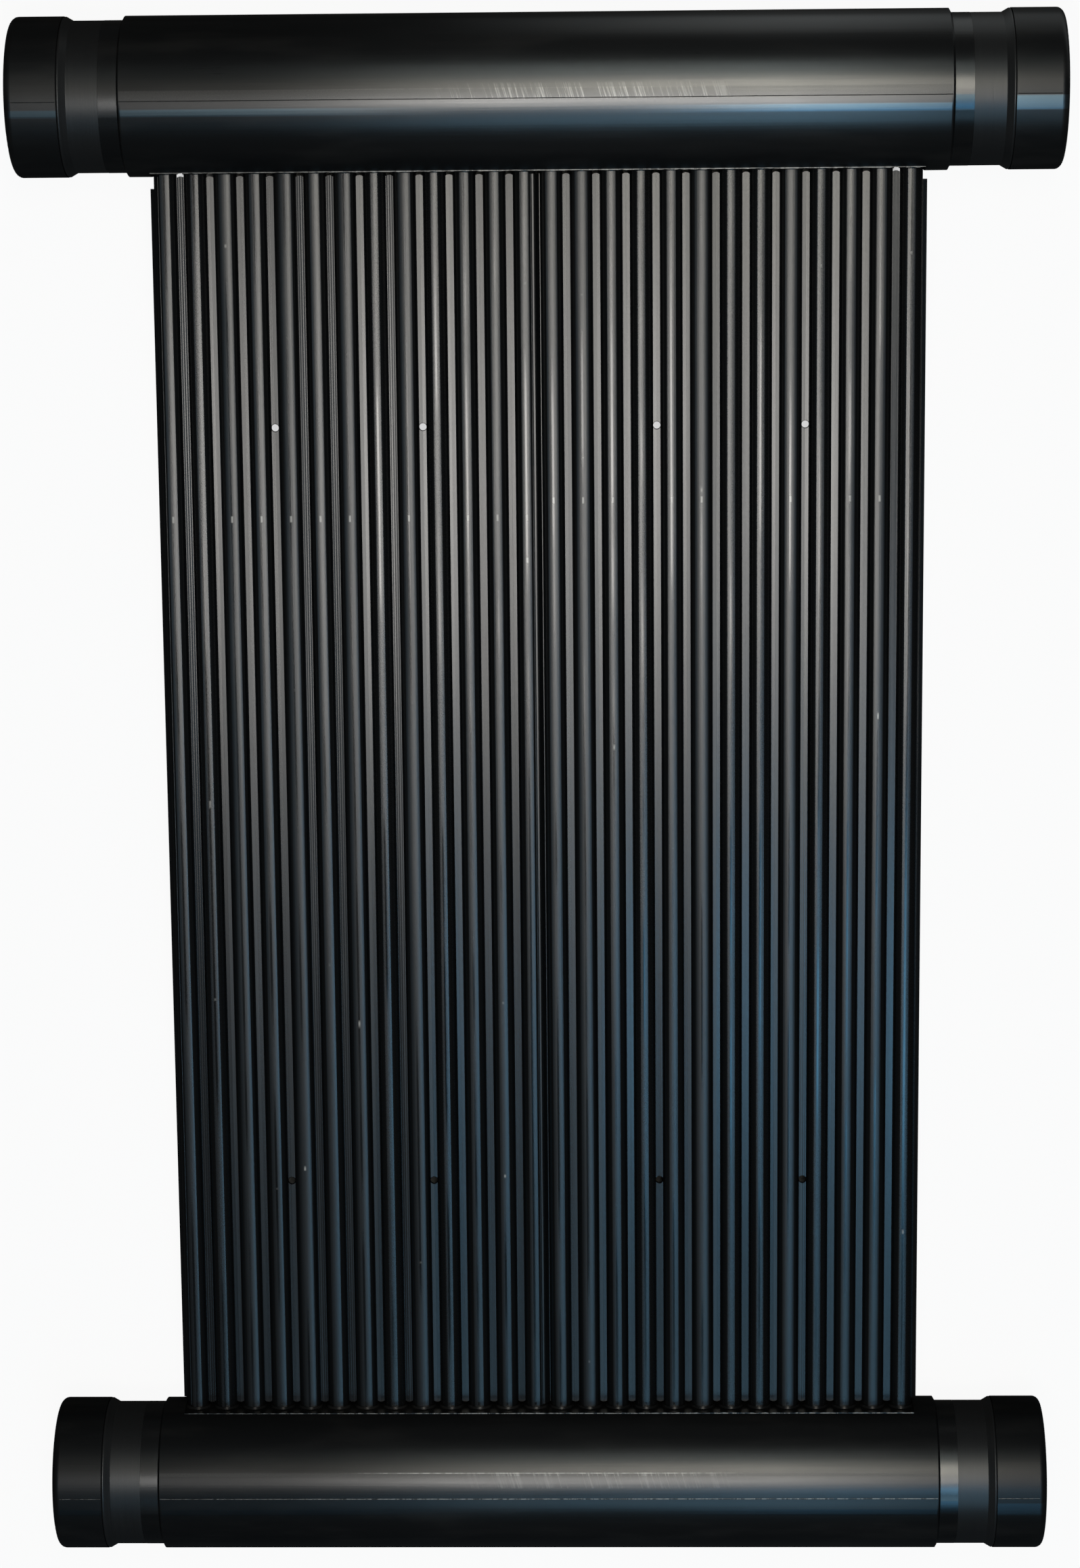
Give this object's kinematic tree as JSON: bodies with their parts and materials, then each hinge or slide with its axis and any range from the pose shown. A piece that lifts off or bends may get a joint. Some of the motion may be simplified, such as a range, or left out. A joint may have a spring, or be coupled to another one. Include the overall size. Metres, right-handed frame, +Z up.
{
  "type": "solar pool heating panel",
  "caption": "Unglazed pool heating absorber: header pipes with open grooved ends, joined by ribbed sheets of water tubes that lie side by side.",
  "frame": {"origin": "on the surface that the panel lies on, under the middle of its box", "axes": "+X along the header pipes, +Y across the panel from the lower header to the upper one along the tubes, +Z up from the surface to the sunlit face"},
  "size_m": [0.394, 0.607, 0.06],
  "materials": {
    "header_plastic": "satin",
    "absorber_plastic": "satin",
    "seal_rubber": "matte"
  },
  "bodies": {
    "root": {"header_top": "header_plastic", "header_bottom": "header_plastic", "absorber_left": "absorber_plastic", "absorber_right": "absorber_plastic", "seal_sleeve_top_left": "seal_rubber", "seal_sleeve_top_right": "seal_rubber", "seal_sleeve_bottom_left": "seal_rubber", "seal_sleeve_bottom_right": "seal_rubber"}
  },
  "joints": []
}
